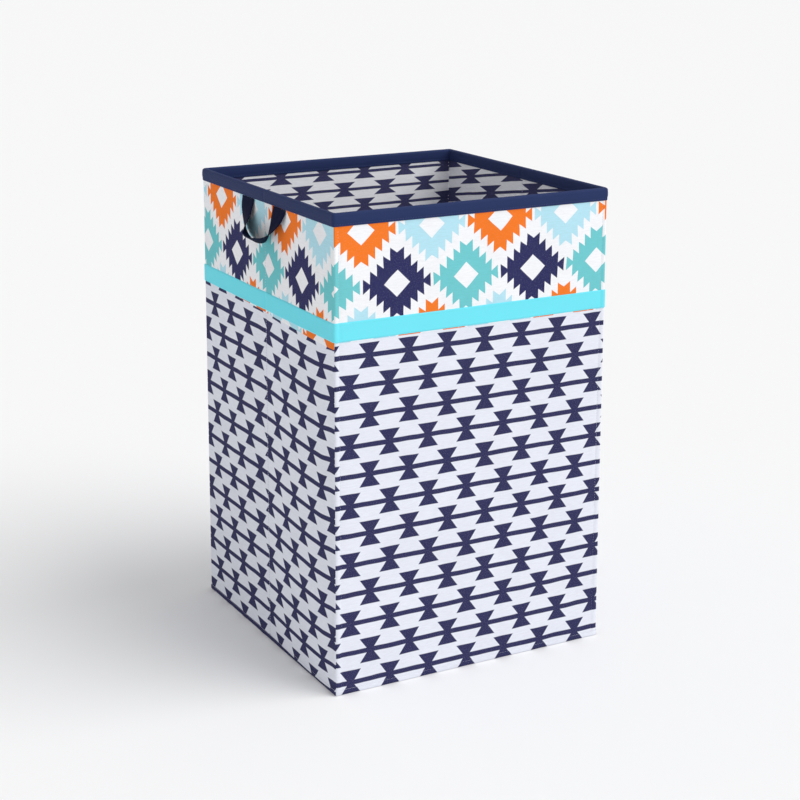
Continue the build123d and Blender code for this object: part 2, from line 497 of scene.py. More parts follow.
def finish_layer(piece, zone, kind):
    attach(piece, zone)
    if zone.nodes:
        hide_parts(*[f"{node}_{kind}" for node in zone.nodes])


def stand_for(piece, node, slot, flat, held, rests_on, **more):
    """Hides the CAD node that a sheet takes the place of."""
    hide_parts(node)


# === Materials ===


def linear(red, green, blue):
    """A screen colour, 0 to 255, as the shader's linear one."""
    values = [value / 255 for value in (red, green, blue)]
    return tuple(v / 12.92 if v <= 0.04045 else ((v + 0.055) / 1.055) ** 2.4 for v in values) + (1,)


def operation(name):
    """A method that works on a Number with that math node."""
    return lambda self, *others: self.math(name, *others)


class Number:
    """A value worked out by shader nodes, so that a print is written as arithmetic."""

    def __init__(self, tree, socket):
        self.tree = tree
        self.socket = socket

    def math(self, operation, *others, clamp=False):
        node = self.tree.nodes.new("ShaderNodeMath")
        node.operation = operation
        node.use_clamp = clamp
        for slot, value in zip(node.inputs, (self, *others)):
            if isinstance(value, Number):
                self.tree.links.new(value.socket, slot)
            else:
                slot.default_value = value
        return Number(self.tree, node.outputs[0])

    __add__ = operation("ADD")
    __sub__ = operation("SUBTRACT")
    __mul__ = operation("MULTIPLY")
    __truediv__ = operation("DIVIDE")
    size = operation("ABSOLUTE")
    floor = operation("FLOOR")
    sine = operation("SINE")
    least = operation("MINIMUM")
    most = operation("MAXIMUM")

    def odd(self):
        """1 for an odd whole number, 0 for an even one."""
        return self.math("FLOORED_MODULO", 2.0)

    def inked(self, edge):
        """1 where the value is above 0, with a soft edge that wide."""
        return (self / edge).math("ADD", 0.5, clamp=True)


def set_inputs(node, **values):
    """Sets a node's inputs, each named with _ for a space."""
    for name, value in values.items():
        node.inputs[name.replace("_", " ")].default_value = value


class Cloth:
    """A material under construction: its node tree, its shader and short ways to add to them."""

    def __init__(self, name, roughness, sheen=0.0, specular=0.3):
        self.material = bpy.data.materials.new(name)
        self.material.use_nodes = True
        self.tree = self.material.node_tree
        self.shader = self.tree.nodes["Principled BSDF"]
        set_inputs(self.shader, Roughness=roughness, Specular_IOR_Level=specular)
        set_inputs(self.shader, Sheen_Weight=sheen, Sheen_Roughness=0.5)

    def map(self, name):
        """The two numbers of a UV map."""
        place = self.tree.nodes.new("ShaderNodeUVMap")
        place.uv_map = name
        parts = self.tree.nodes.new("ShaderNodeSeparateXYZ")
        self.tree.links.new(place.outputs["UV"], parts.inputs[0])
        return [Number(self.tree, output) for output in parts.outputs[:2]]

    def join(self, x, y, z=None):
        node = self.tree.nodes.new("ShaderNodeCombineXYZ")
        for slot, value in zip(node.inputs, (x, y, z)):
            if value is not None:
                self.tree.links.new(value.socket, slot)
        return node.outputs[0]

    def noise(self, vector, scale, detail=2.0, roughness=0.5):
        """Noise about 0.5 at that many cycles to the metre."""
        node = self.tree.nodes.new("ShaderNodeTexNoise")
        self.tree.links.new(vector, node.inputs["Vector"])
        set_inputs(node, Scale=scale, Detail=detail, Roughness=roughness)
        return Number(self.tree, node.outputs["Fac"])

    def blend(self, way, first, second):
        """A mix node of two colours, each a socket or a fixed colour."""
        node = self.tree.nodes.new("ShaderNodeMix")
        node.data_type = "RGBA"
        node.blend_type = way
        for value, slot in zip((first, second), (node.inputs["A"], node.inputs["B"])):
            if isinstance(value, bpy.types.NodeSocket):
                self.tree.links.new(value, slot)
            else:
                slot.default_value = value
        return node

    def mix(self, share, first, second):
        """A colour between two."""
        node = self.blend("MIX", first, second)
        self.tree.links.new(share.socket, node.inputs["Factor"])
        return node.outputs["Result"]

    def shade(self, colour, amount):
        """A colour made lighter or darker by a number about 1."""
        node = self.blend("MULTIPLY", colour, self.join(amount, amount, amount))
        set_inputs(node, Factor=1.0)
        return node.outputs["Result"]

    def finish(self, colour, height, strength, distance):
        """Gives the shader its colour and its bumps, that strong and that deep."""
        bump = self.tree.nodes.new("ShaderNodeBump")
        set_inputs(bump, Strength=strength, Distance=distance)
        self.tree.links.new(colour, self.shader.inputs["Base Color"])
        self.tree.links.new(height.socket, bump.inputs["Height"])
        self.tree.links.new(bump.outputs["Normal"], self.shader.inputs["Normal"])
        return self.material


# The two prints, in shares of their repeat.
STRIPE = 0.084
FIGURE_TALL = 0.415
FIGURE_WIDE = 0.263
FIGURE_WAIST = 0.054
MEDALLION_TOOTH = 8.5 / 88.4
MEDALLION_TALL = 34.0 / 61.5
MEDALLION_STEP = 8.0 / 61.5
MEDALLION_RISE = 6.0 / 61.5
MEDALLION_TEETH = 5
DIAMOND_WIDE = 16.5 / 88.4
DIAMOND_TALL = 15.0 / 61.5

NAVY_INK = linear(50, 50, 90)
CANVAS = linear(232, 235, 245)
LINING_CANVAS = linear(247, 248, 252)
LINING_NAVY = linear(60, 60, 98)
UPPER_CANVAS = linear(246, 247, 250)
UPPER_NAVY = linear(46, 47, 94)
AQUA = linear(114, 204, 209)
LIGHT_BLUE = linear(184, 229, 243)
ORANGE = linear(247, 124, 34)
CYAN = linear(116, 234, 249)
TAPE_NAVY = linear(38, 52, 96)
WEBBING_NAVY = linear(13, 19, 50)
GREYBOARD = linear(150, 140, 125)

THREAD_PITCH = 1.05 * MM


def weave_height(u, v, pitch):
    """The over and under of a plain weave, from 0 to 1."""
    turn = 2 * np.pi / pitch
    warp = (u * turn).sine()
    weft = (v * turn).sine()
    return warp * weft * 0.5 + 0.5


def canvas(name, print_of, *colours):
    """Printed canvas: a print, flecks where the ink misses the weave, and soft unevenness."""
    cloth = Cloth(name, 0.85, specular=0.12)
    u, v = cloth.map("weave")
    across, up = cloth.map("print")
    metres = cloth.join(u, v)
    wander = cloth.noise(metres, 28, 1.0)
    lift = cloth.noise(metres, 33, 1.0)
    across = across + (wander - 0.5) * 0.035
    up = up + (lift - 0.5) * 0.05
    weave = weave_height(u, v, THREAD_PITCH)
    grain = cloth.noise(metres, 1100, 3.0, 0.65)
    colour, ink = print_of(cloth, across, up, *colours)
    fleck = (grain - 0.60).inked(0.08) * ink * 0.22
    colour = cloth.mix(fleck, colour, linear(168, 170, 196))
    cloudy = cloth.noise(metres, 16, 2.0)
    slubs = cloth.noise(cloth.join(u * 0.16, v), 620, 2.0)
    tone = (cloudy - 0.5) * 0.10 + (grain - 0.5) * 0.24 + (slubs - 0.5) * 0.16 + weave * 0.06 + 0.97
    colour = cloth.shade(colour, tone)
    height = weave * 0.55 + grain * 0.7
    return cloth.finish(colour, height, strength=0.45, distance=0.35 * MM)


def hourglasses(cloth, across, up, ground, navy):
    """Navy stripes with an hourglass at each step, every other row moved on by half."""
    row = (up + 0.5).floor()
    off_row = (up - row).size()
    column = across + row.odd() * 0.5
    off_column = (column - (column + 0.5).floor()).size()
    stripe = (off_row * -1.0 + STRIPE).inked(0.016)
    side = off_row * ((FIGURE_WIDE - FIGURE_WAIST) / FIGURE_TALL) + FIGURE_WAIST
    figure = (side - off_column).inked(0.012).least((off_row * -1.0 + FIGURE_TALL).inked(0.016))
    ink = stripe.most(figure)
    return cloth.mix(ink, ground, navy), ink


def medallion_rows(cloth, across, up, shift, colour):
    """Every other row of saw-edged diamonds, laid over a colour."""
    row = ((up - shift) / 2 + 0.5).floor()
    off_row = (up - shift - row * 2).size()
    moved = across - shift * 0.5
    column = (moved + 0.5).floor()
    off_column = (moved - column).size()
    teeth = off_column / MEDALLION_TOOTH
    tooth = teeth.floor()
    edge = tooth * -MEDALLION_STEP + (teeth - tooth) * MEDALLION_RISE + MEDALLION_TALL
    inside = (edge - off_row).inked(0.012).math("MULTIPLY", (teeth * -1.0 + MEDALLION_TEETH).inked(0.08))
    diamond = (off_column / DIAMOND_WIDE + off_row / DIAMOND_TALL) * -1.0 + 1.0
    inside = inside * (diamond.inked(0.05) * -1.0 + 1.0)
    other = (column + row).odd() if shift else column.odd()
    pair = (LIGHT_BLUE, ORANGE) if shift else (UPPER_NAVY, AQUA)
    filling = cloth.mix(other, *pair)
    return cloth.mix(inside, colour, filling), inside


def medallions(cloth, across, up):
    """Rows of navy and aqua diamonds between rows of orange and light blue ones."""
    colour, first = medallion_rows(cloth, across, up, 0.0, UPPER_CANVAS)
    colour, second = medallion_rows(cloth, across, up, 1.0, colour)
    return colour, first.most(second)


def plain_cloth(name, base, pitch, roughness):
    """A dyed cloth of one colour, on the weave map."""
    cloth = Cloth(name, roughness, sheen=0.02, specular=0.15)
    u, v = cloth.map("weave")
    metres = cloth.join(u, v)
    weave = weave_height(u, v, pitch)
    grain = cloth.noise(metres, 900, 3.0, 0.6)
    cloudy = cloth.noise(metres, 22, 2.0)
    tone = (cloudy - 0.5) * 0.12 + (grain - 0.5) * 0.2 + weave * 0.05 + 0.97
    return cloth.finish(cloth.shade(base, tone), weave * 0.6 + grain * 0.5, strength=0.4, distance=0.3 * MM)


def ribbed_cloth(name, base, rib_pitch, rib_way, roughness, specular):
    """Grosgrain or webbing: ribs along one axis of the weave map, finer threads along the other."""
    cloth = Cloth(name, roughness, specular=specular)
    u, v = cloth.map("weave")
    metres = cloth.join(u, v)
    along, over = (u, v) if rib_way == "u" else (v, u)
    rib = (along * (2 * np.pi / rib_pitch)).sine() * 0.5 + 0.5
    thread = (over * (2 * np.pi / (0.5 * MM))).sine() * 0.5 + 0.5
    cloudy = cloth.noise(metres, 30, 2.0)
    grain = cloth.noise(metres, 1200, 2.0)
    tone = (cloudy - 0.5) * 0.06 + rib * 0.06 + thread * 0.02 + (grain - 0.5) * 0.08 + 0.95
    return cloth.finish(cloth.shade(base, tone), rib * 0.8 + thread * 0.2, strength=0.5, distance=0.25 * MM)


def solid(name, base, roughness, scale):
    """Thread and boards, which have no weave map. scale is the grain's cycles to the metre."""
    cloth = Cloth(name, roughness, sheen=0.05)
    place = cloth.tree.nodes.new("ShaderNodeTexCoord").outputs["Object"]
    grain = cloth.noise(place, scale, 3.0, 0.6)
    cloudy = cloth.noise(place, 25, 2.0)
    tone = (cloudy - 0.5) * 0.15 + (grain - 0.5) * 0.25 + 1.0
    return cloth.finish(cloth.shade(base, tone), grain, strength=0.35, distance=0.3 * MM)


def thread(name, red, green, blue):
    return solid(name, linear(red, green, blue), 0.6, 2500)


LOWER_PRINT = canvas("lower_print", hourglasses, CANVAS, NAVY_INK)
UPPER_PRINT = canvas("upper_print", medallions)
LINING_PRINT = canvas("lining_print", hourglasses, LINING_CANVAS, LINING_NAVY)
RIBBON_CLOTH = ribbed_cloth("ribbon_grosgrain", CYAN, 0.9 * MM, "u", 0.6, 0.2)
TAPE_CLOTH = plain_cloth("rim_tape_twill", TAPE_NAVY, 0.7 * MM, 0.7)
WEBBING = ribbed_cloth("handle_webbing", WEBBING_NAVY, 1.6 * MM, "v", 0.75, 0.06)
NAVY_THREAD = thread("navy_thread", 48, 60, 108)
CYAN_THREAD = thread("cyan_thread", 120, 232, 246)
PALE_THREAD = thread("pale_thread", 205, 208, 222)
BOARD = solid("greyboard", GREYBOARD, 0.9, 400)
BOTTOM = plain_cloth("bottom_cloth", linear(205, 207, 218), 1.0 * MM, 0.9)


# === The cloth layers ===


def rows_between(low, high, steps):
    """Row heights from one edge to another. Each edge is a height, or a function of the place."""

    def height_of(edge, walls, places):
        return edge(walls, places) if callable(edge) else np.full(len(places), edge)

    def heights(walls, places):
        first, last = (height_of(edge, walls, places) for edge in (low, high))
        return [first + (last - first) * share for share in steps]

    return heights


def ribbon_profile(share):
    """The ribbon lies down at its two edges."""
    return 0.35 * MM + 0.5 * MM * float(smooth(0, 0.12, share) * smooth(0, 0.12, 1 - share))


# The layers of each zone: slot, rows, stand-off, thickness, corner radius, material and print.
TUCKED = TAPE_LOW + 9 * MM
RIBBON_STEPS = np.array((0, 0.03, 0.08, 0.15, 0.3, 0.5, 0.7, 0.85, 0.92, 0.97, 1))
LAYERS = {
    "print": (
        "lower_print", rows_between(FOOT, band_edge, np.linspace(0, 1, 58)), lambda share: 0.0,
        CLOTH, OUTER_RADIUS, LOWER_PRINT, lower_repeat,
    ),
    "band": (
        "upper_print", rows_between(band_edge, TUCKED, np.linspace(0, 1, 26)), lambda share: 0.0,
        CLOTH, OUTER_RADIUS, UPPER_PRINT, upper_repeat,
    ),
    "ribbon": (
        "ribbon", rows_between(RIBBON_LOW, RIBBON_HIGH, RIBBON_STEPS), ribbon_profile,
        0.45 * MM, OUTER_RADIUS, RIBBON_CLOTH, lower_repeat,
    ),
    "lining": (
        "lining", rows_between(FOOT, TUCKED, np.linspace(0, 1, 48)), lambda share: LINING_IN,
        CLOTH, INNER_RADIUS, LINING_PRINT, lining_repeat,
    ),
}


def build_layers(zone):
    for kind, (slot, *layer) in LAYERS.items():
        piece, outer = zone_sheet(zone, kind, *layer)
        finish_layer(piece, zone, kind)


# The rim tape. TAPE_LEG is one leg of its section, from the hem up: stand-off and rise, in mm.
TAPE_LEG = (
    (0.55, 0), (0.95, 0.5), (1.12, 1.4), (0.86, 2.4), (1.15, 3.6), (1.42, 6), (1.45, 8.5), (1.25, 11),
)
TAPE_THICK = 1.0 * MM
TAPE_MIDDLE = LINING_IN / 2
TAPE_HALF = TAPE_PROUD - TAPE_MIDDLE
TAPE_ROUND = 3.0 * MM
TAPE_SEAM = 2.4 * MM


def tape_section():
    """Outer and inner points of the tape's section, over the rim from hem to hem."""
    outer = [(proud * MM, TAPE_LOW + rise * MM) for proud, rise in TAPE_LEG]
    inner = [(2 * TAPE_MIDDLE - proud, height) for proud, height in outer[::-1]]
    side = TAPE_HALF + 0.05 * MM
    for turn in np.radians(np.arange(0, 181, 22.5)):
        outer.append((TAPE_MIDDLE + side * np.cos(turn), RIM_HIGH - TAPE_ROUND + TAPE_ROUND * np.sin(turn)))
    points = np.array(outer + inner)
    tangent = directions(points)
    return points, points + np.column_stack((-tangent[:, 1], tangent[:, 0])) * TAPE_THICK


def build_tape(zone):
    profiles = tape_section()
    _, _, places, walls = zone.plan(0, OUTER_RADIUS)
    grids = []
    for profile in profiles:
        rows = []
        for proud, height in profile:
            share = (TAPE_PROUD - proud) / (2 * TAPE_HALF)
            radius = OUTER_RADIUS + 0.8 * MM + (INNER_RADIUS - OUTER_RADIUS) * min(max(share, 0), 1)
            points, normals, place, _ = zone.plan(proud, radius)
            dip = groove(walls, place, TAPE_GROOVE) * (1 if proud > TAPE_MIDDLE else -1)
            rows.append(np.column_stack((points - normals * dip[:, None], np.full(len(points), height))))
        grids.append(np.array(rows))
    girth = run_along(profiles[0])
    maps = zone_maps(walls, *np.meshgrid(places, TAPE_LOW + girth), lower_repeat)
    piece = slab(f"{zone.name}_tape_folded", *grids, TAPE_CLOTH, maps)
    finish_layer(piece, zone, "tape")


# === Stitching ===

STITCH_PITCH = 3.2 * MM
STITCH_LENGTH = 2.4 * MM
STITCH_WIDE = 0.5 * MM
STITCH_TALL = 0.32 * MM
STITCH_SINK = 0.1 * MM


def stitch_points(line, normals):
    """Vertices and faces of a row of stitches along a line that lies on a surface."""
    run = run_along(line)
    points, faces = [], []
    count = int(run[-1] / STITCH_PITCH)
    for index in range(count):
        middle = (index + 0.5) * run[-1] / count
        ends = []
        for place in (middle - STITCH_LENGTH / 2, middle + STITCH_LENGTH / 2):
            ends.append(np.array([np.interp(place, run, line[:, axis]) for axis in range(3)]))
        out = np.array([np.interp(middle, run, normals[:, axis]) for axis in range(3)])
        out /= np.linalg.norm(out)
        way = ends[1] - ends[0]
        side = np.cross(out, way)
        side /= np.linalg.norm(side)
        base = len(points)
        rise, spread = out * STITCH_TALL, side * STITCH_WIDE / 2
        points.append(ends[0] - out * STITCH_SINK)
        for share in (0.25, 0.75):
            points += [ends[0] + way * share + step for step in (rise, spread, -rise, -spread)]
        points.append(ends[1] - out * STITCH_SINK)
        for turn in range(4):
            a = base + 1 + turn
            b = base + 1 + (turn + 1) % 4
            faces += [(base, a, b), (a, a + 4, b + 4, b), (a + 4, base + 9, b + 4)]
    return points, faces


def stitching(name, lines, material):
    """One piece of stitches along some lines, each a pair of points and surface normals."""
    points, faces = [], []
    for line, normals in lines:
        more_points, more_faces = stitch_points(line, normals)
        faces += [tuple(index + len(points) for index in face) for face in more_faces]
        points += more_points
    piece = new_piece(name, points, faces, material)
    return piece


def seam_line(zone, height, proud, inside=False):
    """A level line round a zone on the face of a layer."""
    slope = 0 if inside else float(flare(height))
    points, normals, places, walls = zone.plan(slope + proud, INNER_RADIUS if inside else OUTER_RADIUS)
    if height > TAPE_LOW:
        extra = groove(walls, places, TAPE_GROOVE) * (1 if inside else -1)
    else:
        extra = cloth_face(walls, places, height)
    line = np.column_stack((points + normals * extra[:, None], np.full(len(points), height)))
    return line, np.column_stack((-normals if inside else normals, np.zeros(len(points))))


def build_stitching(zone):
    height = TAPE_LOW + TAPE_SEAM
    lines = [seam_line(zone, height, 0.9 * MM), seam_line(zone, height, LINING_IN - 0.9 * MM, inside=True)]
    attach(stitching(f"{zone.name}_tape_stitching", lines, NAVY_THREAD), zone)
    lines = [seam_line(zone, height, 0.83 * MM) for height in (RIBBON_LOW + 2 * MM, RIBBON_HIGH - 2 * MM)]
    attach(stitching(f"{zone.name}_ribbon_stitching", lines, CYAN_THREAD), zone)


def upright_line(wall, u, low, high, reach, facing=1):
    """A line up a wall's cloth, and its normals, at a place along the wall."""
    out, way, distance, half = WALLS[wall]
    points = []
    for height in np.arange(low, high, 6 * MM):
        plan = np.array(out) * (distance + reach(np.array([u]), height)) + np.array(way) * (u - half)
        points.append((plan[0], plan[1], height))
    return np.array(points), np.tile((out[0] * facing, out[1] * facing, 0.0), (len(points), 1))


def build_crease_stitching(side):
    """The thread that holds cloth and lining together down a side wall's crease."""
    crease = HALF_DEPTH + (-CREASE_Y if side == "left" else CREASE_Y)

    def outside(_, height):
        return flare(height) - GROOVE + 0.1 * MM

    def inside(*_):
        return LINING_IN + 0.9 * MM

    lines = [
        upright_line(side, crease, FOOT, RIBBON_LOW, outside),
        upright_line(side, crease, RIBBON_HIGH, TAPE_LOW, outside),
        upright_line(side, crease, FOOT, TAPE_LOW, inside, facing=-1),
    ]
    piece = stitching(f"{side}_crease_stitching", lines, PALE_THREAD)
    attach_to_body(piece, f"{side}_crease")
    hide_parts(f"{side}_crease_seam")


def build_corner_stitching(wall):
    """The upright row beside each corner of the front and back walls."""

    def proud(places, height):
        return flare(height) + stand_off([wall], places, height)[0] - edge_seam([wall], places)[0]

    lines = []
    for u in (SEAM_PLACE, 2 * WALLS[wall][3] - SEAM_PLACE):
        lines.append(upright_line(wall, u, FOOT, RIBBON_LOW, proud))
        lines.append(upright_line(wall, u, RIBBON_HIGH, TAPE_LOW, proud))
    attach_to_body(stitching(f"{wall}_corner_stitching", lines, PALE_THREAD), wall)


for zone in ZONES:
    build_layers(zone)
    build_tape(zone)
    build_stitching(zone)

build_crease_stitching("left")
build_crease_stitching("right")
build_corner_stitching("front")
build_corner_stitching("back")


# === The open corner: the edges that part at the right front when the walls fold ===

EDGE_CLOTH = 0.22 * MM


def edge_span(height, in_tape):
    """How far in and out a wall's edge reaches at a height, inside its cloth or its tape."""
    if not in_tape:
        return HALF_WIDTH + LINING_IN + 0.1 * MM, HALF_WIDTH + flare(height) - 0.2 * MM
    over = np.clip((height - RIM_HIGH + TAPE_ROUND) / TAPE_ROUND, 0, 1)
    half = (TAPE_HALF - 0.25 * MM) * np.sqrt(1 - over**2)
    return HALF_WIDTH + TAPE_MIDDLE - half, HALF_WIDTH + TAPE_MIDDLE + half


def edge_cloth(body, kind, face, low, high, material):
    """A trim 5 mm wide across the edge of a wall, from its outer cloth to its lining."""
    heights = np.linspace(low, high, 40)
    grids = []
    for y in (face, face + EDGE_CLOTH):
        spans = [edge_span(height, kind == "tape") for height in heights]
        rows = [[(x, y, z) for x in np.linspace(*span, 4)] for span, z in zip(spans, heights)]
        grids.append(np.array(rows))
    weave = straight_weave(grids[0][:, :, 0], heights)
    piece = slab(f"{body}_open_edge_{kind}_trim", *grids, material, weave)
    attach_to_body(piece, body)


def build_open_corner():
    cut = -(HALF_DEPTH - OUTER_RADIUS - EDGE_STEPS[4])
    for body, face in (("front", cut + 0.2 * MM), ("right_front", cut + 0.45 * MM)):
        edge_cloth(body, "canvas", face, FOOT, TAPE_LOW + 1 * MM, BOTTOM)
        edge_cloth(body, "tape", face, TAPE_LOW, RIM_HIGH - 0.4 * MM, TAPE_CLOTH)


build_open_corner()


# === Bottom cloth, base cover and hinge tape ===


def ring(half_x, half_y, radius, height, middle_y=0.0):
    """A closed rounded rectangle, with the same number of points on every side."""
    points = []
    for turn, (out, along, *_) in enumerate(WALLS.values()):
        reach, half = (half_x, half_y) if turn % 2 else (half_y, half_x)
        out, along = np.array(out), np.array(along)
        for place in np.linspace(-1, 1, RING_STEPS, endpoint=False):
            points.append(out * reach + along * place * (half - radius))
        for angle in np.radians((0, 22.5, 45, 67.5)):
            centre = out * (reach - radius) + along * (half - radius)
            points.append(centre + radius * (out * np.cos(angle) + along * np.sin(angle)))
    return np.array([(x, y + middle_y, height) for x, y in points])


def ring_piece(name, rings, material):
    """A closed piece through rings, its two ends shut with a fan. The maps are laid flat, from above."""
    count = len(rings[0])
    points = [tuple(point) for one in rings for point in one]
    faces = wrapped_faces(len(rings), count)
    for start, flip in ((0, True), ((len(rings) - 1) * count, False)):
        centre = len(points)
        points.append(tuple(np.mean(points[start : start + count], axis=0)))
        for j in range(count):
            face = (start + j, start + (j + 1) % count, centre)
            faces.append(face[::-1] if flip else face)
    piece = new_piece(name, points, faces, material)
    repeat = [value * MM for value in LINING_REPEAT["back"][2:]]
    for map_name, (wide, tall) in (("print", repeat), ("weave", (1, 1))):
        layer = piece.data.uv_layers.new(name=map_name)
        for loop in piece.data.loops:
            x, y, _ = points[loop.vertex_index]
            layer.data[loop.index].uv = (x / wide, y / tall)
    return piece


RING_STEPS = 40
SHARES = (0.02, 0.15, 0.3, 0.45, 0.6, 0.75, 0.88, 0.96)
FLOOR_GAP = 0.25 * MM
HEM_TOP = FOOT + 0.35 * MM


def box_rings(half_x, half_y, radius, rows, middle_y=0.0, face_radius=4 * MM):
    """Rings through rows of (inset, height), closing in on the middle of the faces at both ends."""

    def face(height, shares):
        return [ring(half_x * n, half_y * n, face_radius * n, height, middle_y) for n in shares]

    levels = [ring(half_x - inset, half_y - inset, radius, height, middle_y) for inset, height in rows]
    return face(rows[0][1], SHARES) + levels + face(rows[-1][1], SHARES[::-1])


def skirted(half_x, half_y, depth):
    """The flat size and the area of a cloth with its edges folded that deep and its corners cut out."""
    flat = (2 * (half_x + depth), 2 * (half_y + depth))
    return flat, 4 * half_x * half_y + 4 * (half_x + half_y) * depth


def build_bottom():
    """The bottom cloth, turned up round the feet of the walls as a low hem that carries on the print."""
    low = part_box("bottom_cloth")[0].z
    thick = 0.5 * MM
    half_x, half_y = HALF_WIDTH + FLARE + 0.55 * MM, HALF_DEPTH + FLARE + 0.55 * MM
    rows = [
        (1.4 * MM, low + FLOOR_GAP + thick),
        (thick, low + 1.6 * MM),
        (thick, HEM_TOP),
        (0.1 * MM, HEM_TOP),
        (0, HEM_TOP - 0.5 * MM),
        (0, low + 1.4 * MM),
        (0.5 * MM, low + 0.5 * MM),
        (1.4 * MM, low + FLOOR_GAP),
    ]
    rings = box_rings(half_x, half_y, OUTER_RADIUS, rows, face_radius=2 * MM)
    piece = ring_piece("bottom_cloth_hemmed", rings[::-1], BOTTOM)
    map_hem(piece)
    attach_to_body(piece, "back")
    flat, area = skirted(half_x, half_y, HEM_TOP)
    stand_for(piece, "bottom_cloth", "bottom_cloth", flat, "stretched", "left_rear_print_sewn", area=area)
    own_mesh(piece)


def map_hem(piece):
    """The hem carries on the lower print: its faces take that material and the walls' map."""
    piece.data.materials.append(LOWER_PRINT)
    prints = piece.data.uv_layers["print"]
    weave = piece.data.uv_layers["weave"]
    for face in piece.data.polygons:
        if abs(face.normal.z) > 0.9:
            continue
        face.material_index = 1
        across = {wall: face.normal.x * out[0] + face.normal.y * out[1] for wall, (out, *_) in WALLS.items()}
        wall = max(across, key=across.get)
        way, half = WALLS[wall][1], WALLS[wall][3]
        for loop in face.loop_indices:
            point = piece.data.vertices[piece.data.loops[loop].vertex_index].co
            u = np.float64(point.x * way[0] + point.y * way[1] + half)
            prints.data[loop].uv = lower_repeat(wall, u, point.z)
            weave.data[loop].uv = (u, point.z)


def build_base_cover():
    """The cover sewn over the base board: a top sheet with sides, and the sheet beneath."""
    low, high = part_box("base_cover_top")
    half_x, half_y = high.x, (high.y - low.y) / 2
    middle = (high.y + low.y) / 2
    thick = 0.7 * MM
    radius = 4 * MM
    rows = [
        (1.5 * MM, high.z - thick),
        (thick, high.z - 1.4 * MM),
        (thick, low.z + 0.1 * MM),
        (0, low.z + 0.1 * MM),
        (0, high.z - 1.2 * MM),
        (0.4 * MM, high.z - 0.4 * MM),
        (1.3 * MM, high.z),
    ]
    cover = ring_piece("base_cover_sewn", box_rings(half_x, half_y, radius, rows, middle), LINING_PRINT)
    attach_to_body(cover, "base_flap")
    flat, area = skirted(half_x, half_y, high.z - low.z)
    stand_for(cover, "base_cover_top", "base_cover", flat, "stretched", "base_board", area=area)
    low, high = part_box("base_cover_underside")
    rows = [(0.3 * MM, low.z), (0, (low.z + high.z) / 2), (0.3 * MM, high.z)]
    under = ring_piece("base_cover_lower_sheet", box_rings(half_x, half_y, radius, rows, middle), BOTTOM)
    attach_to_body(under, "base_flap")
    flat = (2 * half_x, 2 * half_y)
    stand_for(under, "base_cover_underside", "base_cover", flat, "stretched", "base_board")


def build_hinge_tape():
    """The tape that hinges the base, bent up the foot of the back wall."""
    low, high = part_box("base_hinge_tape")
    thick = 0.4 * MM
    bend = 1.6 * MM
    columns = np.linspace(low.x, high.x, 60)
    path = [(low.y, low.z + thick), (low.y + 5 * MM, low.z + thick)]
    for turn in np.radians(np.arange(-90, 1, 15)):
        y = high.y - bend - thick + bend * np.cos(turn)
        path.append((y, low.z + thick + bend + bend * np.sin(turn)))
    path = np.array(path + [(high.y - thick, low.z + 8 * MM), (high.y - thick, high.z)])
    tangent = directions(path)
    under = path + np.column_stack((tangent[:, 1], -tangent[:, 0])) * thick
    grids = [np.array([[(x, y, z) for x in columns] for y, z in line]) for line in (path, under)]
    girth = run_along(path)
    piece = slab("base_hinge_tape_bent", *grids, TAPE_CLOTH, straight_weave(columns, girth))
    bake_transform(piece)
    flat = (high.x - low.x, float(girth[-1]))
    stand_for(piece, "base_hinge_tape", "rim_tape", flat, "folded", "base_cover_sewn")


build_bottom()
build_base_cover()
build_hinge_tape()


# === Handles ===

STRAP_WIDE = 34 * MM
STRAP_THICK = 1.6 * MM
STRAP_LIFT = 1.4 * MM
STRAP_LEAN = np.radians(52)
STRAP_RISE = np.radians(28.5)
STRAP_SECTIONS = 65

# The rear edge of the webbing lies on the wall: distances in front of the crease, and below the roots.
STRAP_STATIONS = np.array([(-60, 0), (-57, 22), (-46, 40), (-17, 49.5), (11, 42), (21, 22), (26, 0)]) * MM


def strap_route():
    """Evenly spaced points on a smooth curve through the stations, straight down and up at the roots."""
    times = run_along(STRAP_STATIONS)
    slopes = np.gradient(STRAP_STATIONS, times, axis=0)
    slopes[0], slopes[-1] = (0, 1), (0, -1)
    curve = []
    for index, chord in enumerate(np.diff(times)):
        (first, second), (leave, arrive) = STRAP_STATIONS[index : index + 2], slopes[index : index + 2]
        for t in np.linspace(0, 1, 24, endpoint=False):
            rise = t * t * (3 - 2 * t)
            bend = leave * (t * (1 - t) ** 2) - arrive * (t * t * (1 - t))
            curve.append(first + (second - first) * rise + bend * chord)
    curve = np.array([*curve, STRAP_STATIONS[-1]])
    run = run_along(curve)
    even = np.linspace(0, run[-1], STRAP_SECTIONS)
    return np.column_stack([np.interp(even, run, curve[:, axis]) for axis in (0, 1)])


